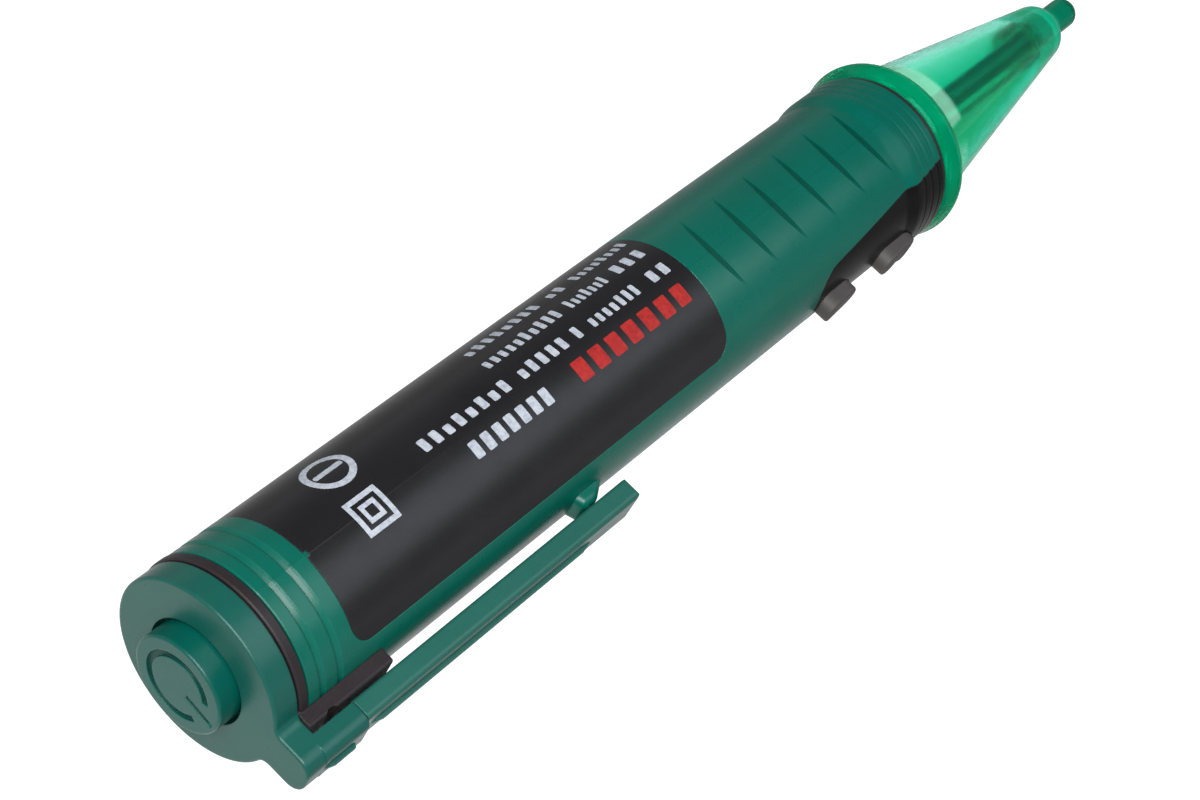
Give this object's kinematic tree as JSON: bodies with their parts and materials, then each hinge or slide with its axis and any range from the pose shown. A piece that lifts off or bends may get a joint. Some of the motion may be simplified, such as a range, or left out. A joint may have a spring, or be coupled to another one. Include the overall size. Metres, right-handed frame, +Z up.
{
  "type": "non contact voltage tester",
  "caption": "Pen-shaped voltage and metal detector with a translucent probe nose, keypad, pocket clip and a push button in its removable battery cap.",
  "frame": {"origin": "centre of the push button's rear face, on the barrel's axis; it is the rearmost point of the tester", "axes": "+X along the barrel from the tail button to the probe tip; the keys and the pocket clip are on the -Y side; +Z up; the housing halves part on the plane y = 0"},
  "size_m": [0.2, 0.0324, 0.0278],
  "materials": {
    "green_abs": "fine satin moulded plastic",
    "green_button": "fine satin moulded plastic",
    "label_film": "satin printed film",
    "black_panel": "satin moulded plastic",
    "key_rubber": "matte silicone",
    "black_seal": "matte rubber",
    "clear_green": "clear tinted, polished",
    "black_nylon": "matte",
    "white_nylon": "matte",
    "switch_case": "matte",
    "board": "solder mask",
    "steel": "plain",
    "chip": "moulded epoxy",
    "ceramic": "matte",
    "can": "drawn can",
    "cell_sleeve": "printed sleeve",
    "nickel": "nickel plated",
    "lead_red": "PVC",
    "lead_black": "PVC",
    "copper": "enamelled wire",
    "wire_sleeve": "pale insulation",
    "ferrite": "sintered",
    "lamp_red": "clear tinted"
  },
  "bodies": {
    "housing": {"housing_key_half": "green_abs", "housing_back_half": "green_abs", "body_label": "label_film", "keypad_panel": "black_panel", "nose_seal": "black_seal", "nose_cone": "clear_green", "key_switches": "switch_case", "main_board": "board", "board_screws": "steel", "controller_chip": "chip", "amplifier_chip": "chip", "chip_passives": "ceramic", "reservoir_capacitor": "can", "sounder": "chip", "battery_carrier": "black_nylon", "battery_cell_a": "cell_sleeve", "battery_cell_b": "cell_sleeve", "front_contact_plate": "nickel", "front_contact_spring": "nickel", "front_contact_stud": "nickel", "positive_lead": "lead_red", "negative_lead": "lead_black", "sensor_carrier": "white_nylon", "coil_former": "black_nylon", "search_coil": "copper", "ferrite_rod": "ferrite", "antenna_wire": "wire_sleeve", "alarm_lamps": "lamp_red"},
    "tail_cap": {"tail_cap": "green_abs", "cap_o_ring": "black_seal", "seal_ring": "black_seal", "power_switch": "switch_case", "switch_board": "board", "board_retainer": "black_nylon", "cap_contact_springs": "nickel", "button_spring": "steel"},
    "power_button": {"power_button": "green_button", "power_switch_plunger": "white_nylon"},
    "pocket_clip": {"pocket_clip": "green_abs"},
    "rear_key": {"rear_key": "key_rubber", "rear_key_plunger": "black_nylon"},
    "front_key": {"front_key": "key_rubber", "front_key_plunger": "black_nylon"}
  },
  "joints": [
    {"name": "tail_cap_slide", "type": "slide", "parent": "housing", "child": "tail_cap", "axis": [-1, 0, 0], "range_m": [0, 0.06]},
    {"name": "power_button_press", "type": "slide", "parent": "tail_cap", "child": "power_button", "axis": [1, 0, 0], "range_m": [0, 0.0012], "stiffness_N_per_m": 1500, "deforming": ["button_spring"]},
    {"name": "clip_flex", "type": "hinge", "parent": "tail_cap", "child": "pocket_clip", "pos_m": [0.01317, -0.0174, 0], "axis": [0, 0, -1], "range_deg": [0, 5], "stiffness_Nm_per_rad": 4},
    {"name": "rear_key_press", "type": "slide", "parent": "housing", "child": "rear_key", "axis": [0, 1, 0], "range_m": [0, 0.0005], "stiffness_N_per_m": 3000},
    {"name": "front_key_press", "type": "slide", "parent": "housing", "child": "front_key", "axis": [0, 1, 0], "range_m": [0, 0.0005], "stiffness_N_per_m": 3000}
  ]
}
